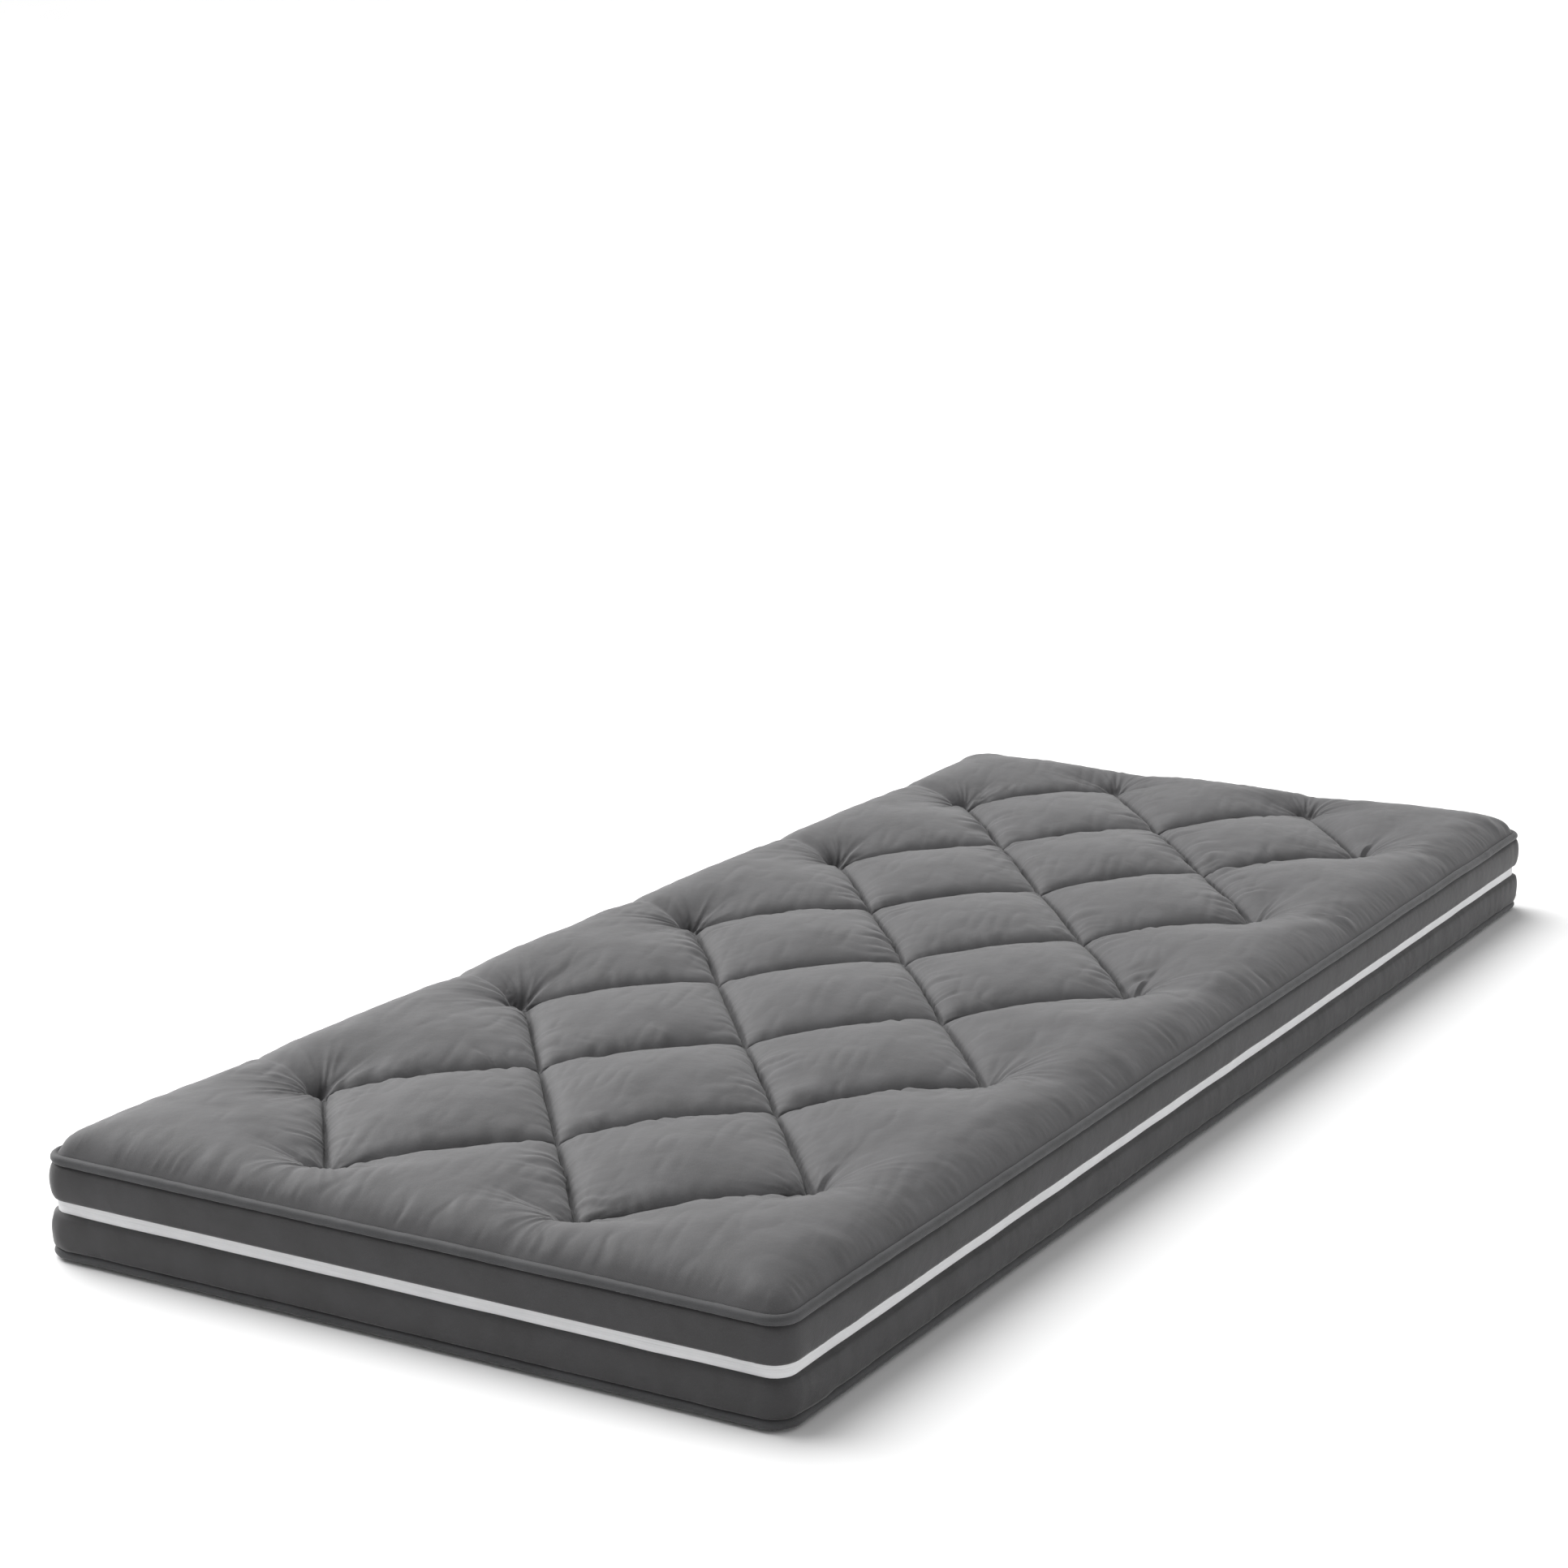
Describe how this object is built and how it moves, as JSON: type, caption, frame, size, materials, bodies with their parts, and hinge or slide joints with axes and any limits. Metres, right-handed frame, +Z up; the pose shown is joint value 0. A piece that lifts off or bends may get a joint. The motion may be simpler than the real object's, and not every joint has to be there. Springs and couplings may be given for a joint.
{
  "type": "futon mattress",
  "caption": "Roll-up floor futon mattress with a quilted top, piped edges and a zipped side band, with its webbing carry harness beside it.",
  "frame": {"origin": "centre of the flat underside of the mattress", "axes": "+X along the length towards the end that stays flat when it is rolled, +Y across the width, +Z up"},
  "size_m": [1.964, 0.8, 0.124],
  "materials": {
    "cover": "brushed microfibre quilting in charcoal grey, soft sheen",
    "piping": "the cover's fabric wrapped tight round a cord",
    "foam": "open-cell foam",
    "zip_tape": "woven polyester tape with a closed nylon coil",
    "zip_metal": "white enamel",
    "webbing": "ribbed polypropylene webbing",
    "buckle": "fine moulded texture"
  },
  "bodies": {
    "section_1": {"foam_core_1": "foam", "top_panel_1": "cover", "bottom_panel_1": "cover", "side_band_1": "cover", "piping_1": "piping", "zip_1": "zip_tape"},
    "section_2": {"foam_core_2": "foam", "top_panel_2": "cover", "bottom_panel_2": "cover", "side_band_2": "cover", "piping_2": "piping", "zip_2": "zip_tape"},
    "section_3": {"foam_core_3": "foam", "top_panel_3": "cover", "bottom_panel_3": "cover", "side_band_3": "cover", "piping_3": "piping", "zip_3": "zip_tape"},
    "section_4": {"foam_core_4": "foam", "top_panel_4": "cover", "bottom_panel_4": "cover", "side_band_4": "cover", "piping_4": "piping", "zip_4": "zip_tape"},
    "section_5": {"foam_core_5": "foam", "top_panel_5": "cover", "bottom_panel_5": "cover", "side_band_5": "cover", "piping_5": "piping", "zip_5": "zip_tape"},
    "section_6": {"foam_core_6": "foam", "top_panel_6": "cover", "bottom_panel_6": "cover", "side_band_6": "cover", "piping_6": "piping", "zip_6": "zip_tape"},
    "section_7": {"foam_core_7": "foam", "top_panel_7": "cover", "bottom_panel_7": "cover", "side_band_7": "cover", "piping_7": "piping", "zip_7": "zip_tape"},
    "section_8": {"foam_core_8": "foam", "top_panel_8": "cover", "bottom_panel_8": "cover", "side_band_8": "cover", "piping_8": "piping", "zip_8": "zip_tape"},
    "zip_slider": {"zip_slider": "zip_metal"},
    "zip_pull": {"zip_pull": "zip_metal"},
    "harness": {"strap_a": "webbing", "strap_b": "webbing", "buckle_socket_a": "buckle", "buckle_socket_b": "buckle", "strap_adjuster_a": "buckle", "strap_adjuster_b": "buckle"},
    "handle": {"carry_handle": "webbing"},
    "plug_a": {"buckle_plug_a": "buckle"},
    "plug_b": {"buckle_plug_b": "buckle"}
  },
  "joints": [
    {"name": "roll_1", "type": "hinge", "parent": "section_1", "child": "section_2", "pos_m": [0.66, 0, 0.01], "axis": [0, 1, 0], "range_deg": [0, 46], "deforming": ["foam_core_1", "top_panel_1", "bottom_panel_1", "side_band_1", "piping_1", "zip_1", "foam_core_2", "top_panel_2", "bottom_panel_2", "side_band_2", "piping_2", "zip_2"]},
    {"name": "roll_2", "type": "hinge", "parent": "section_2", "child": "section_3", "pos_m": [0.43, 0, 0.01], "axis": [0, 1, 0], "range_deg": [0, 46.01], "deforming": ["foam_core_3", "top_panel_3", "bottom_panel_3", "side_band_3", "piping_3", "zip_3"]},
    {"name": "roll_3", "type": "hinge", "parent": "section_3", "child": "section_4", "pos_m": [0.2, 0, 0.01], "axis": [0, 1, 0], "range_deg": [0, 48.31], "deforming": ["foam_core_4", "top_panel_4", "bottom_panel_4", "side_band_4", "piping_4", "zip_4"]},
    {"name": "roll_4", "type": "hinge", "parent": "section_4", "child": "section_5", "pos_m": [-0.03, 0, 0.01], "axis": [0, 1, 0], "range_deg": [0, 52.91], "deforming": ["foam_core_5", "top_panel_5", "bottom_panel_5", "side_band_5", "piping_5", "zip_5"]},
    {"name": "roll_5", "type": "hinge", "parent": "section_5", "child": "section_6", "pos_m": [-0.26, 0, 0.01], "axis": [0, 1, 0], "range_deg": [0, 59.81], "deforming": ["foam_core_6", "top_panel_6", "bottom_panel_6", "side_band_6", "piping_6", "zip_6"]},
    {"name": "roll_6", "type": "hinge", "parent": "section_6", "child": "section_7", "pos_m": [-0.49, 0, 0.01], "axis": [0, 1, 0], "range_deg": [0, 71.31], "deforming": ["foam_core_7", "top_panel_7", "bottom_panel_7", "side_band_7", "piping_7", "zip_7"]},
    {"name": "roll_7", "type": "hinge", "parent": "section_7", "child": "section_8", "pos_m": [-0.72, 0, 0.01], "axis": [0, 1, 0], "range_deg": [0, 85.11], "deforming": ["foam_core_8", "top_panel_8", "bottom_panel_8", "side_band_8", "piping_8", "zip_8"]},
    {"name": "zip_slide", "type": "slide", "parent": "section_1", "child": "zip_slider", "axis": [0, -1, 0], "range_m": [0, 0.68]},
    {"name": "pull_swing", "type": "hinge", "parent": "zip_slider", "child": "zip_pull", "pos_m": [0.9525, 0.34, 0.0525], "axis": [0, -1, 0], "range_deg": [0, 160]},
    {"name": "harness_move", "type": "slide", "parent": "section_1", "child": "harness", "axis": [1, 0, 0], "range_m": [0, 0.3]},
    {"name": "handle_swing", "type": "hinge", "parent": "harness", "child": "handle", "pos_m": [0.995, 0, 0.0122], "axis": [0, 1, 0], "range_deg": [0, 80], "stiffness_Nm_per_rad": 0.15, "deforming": ["carry_handle"]},
    {"name": "plug_a_release", "type": "slide", "parent": "harness", "child": "plug_a", "axis": [0, 1, 0], "range_m": [0, 0.033], "deforming": ["strap_a", "buckle_plug_a"]},
    {"name": "plug_b_release", "type": "slide", "parent": "harness", "child": "plug_b", "axis": [0, -1, 0], "range_m": [0, 0.033], "deforming": ["strap_b", "buckle_plug_b"]}
  ],
  "couplings": [
    {"joint": "roll_2", "follows": "roll_1", "ratio": 1},
    {"joint": "roll_3", "follows": "roll_1", "ratio": 1.05},
    {"joint": "roll_4", "follows": "roll_1", "ratio": 1.15},
    {"joint": "roll_5", "follows": "roll_1", "ratio": 1.3},
    {"joint": "roll_6", "follows": "roll_1", "ratio": 1.55},
    {"joint": "roll_7", "follows": "roll_1", "ratio": 1.85}
  ]
}
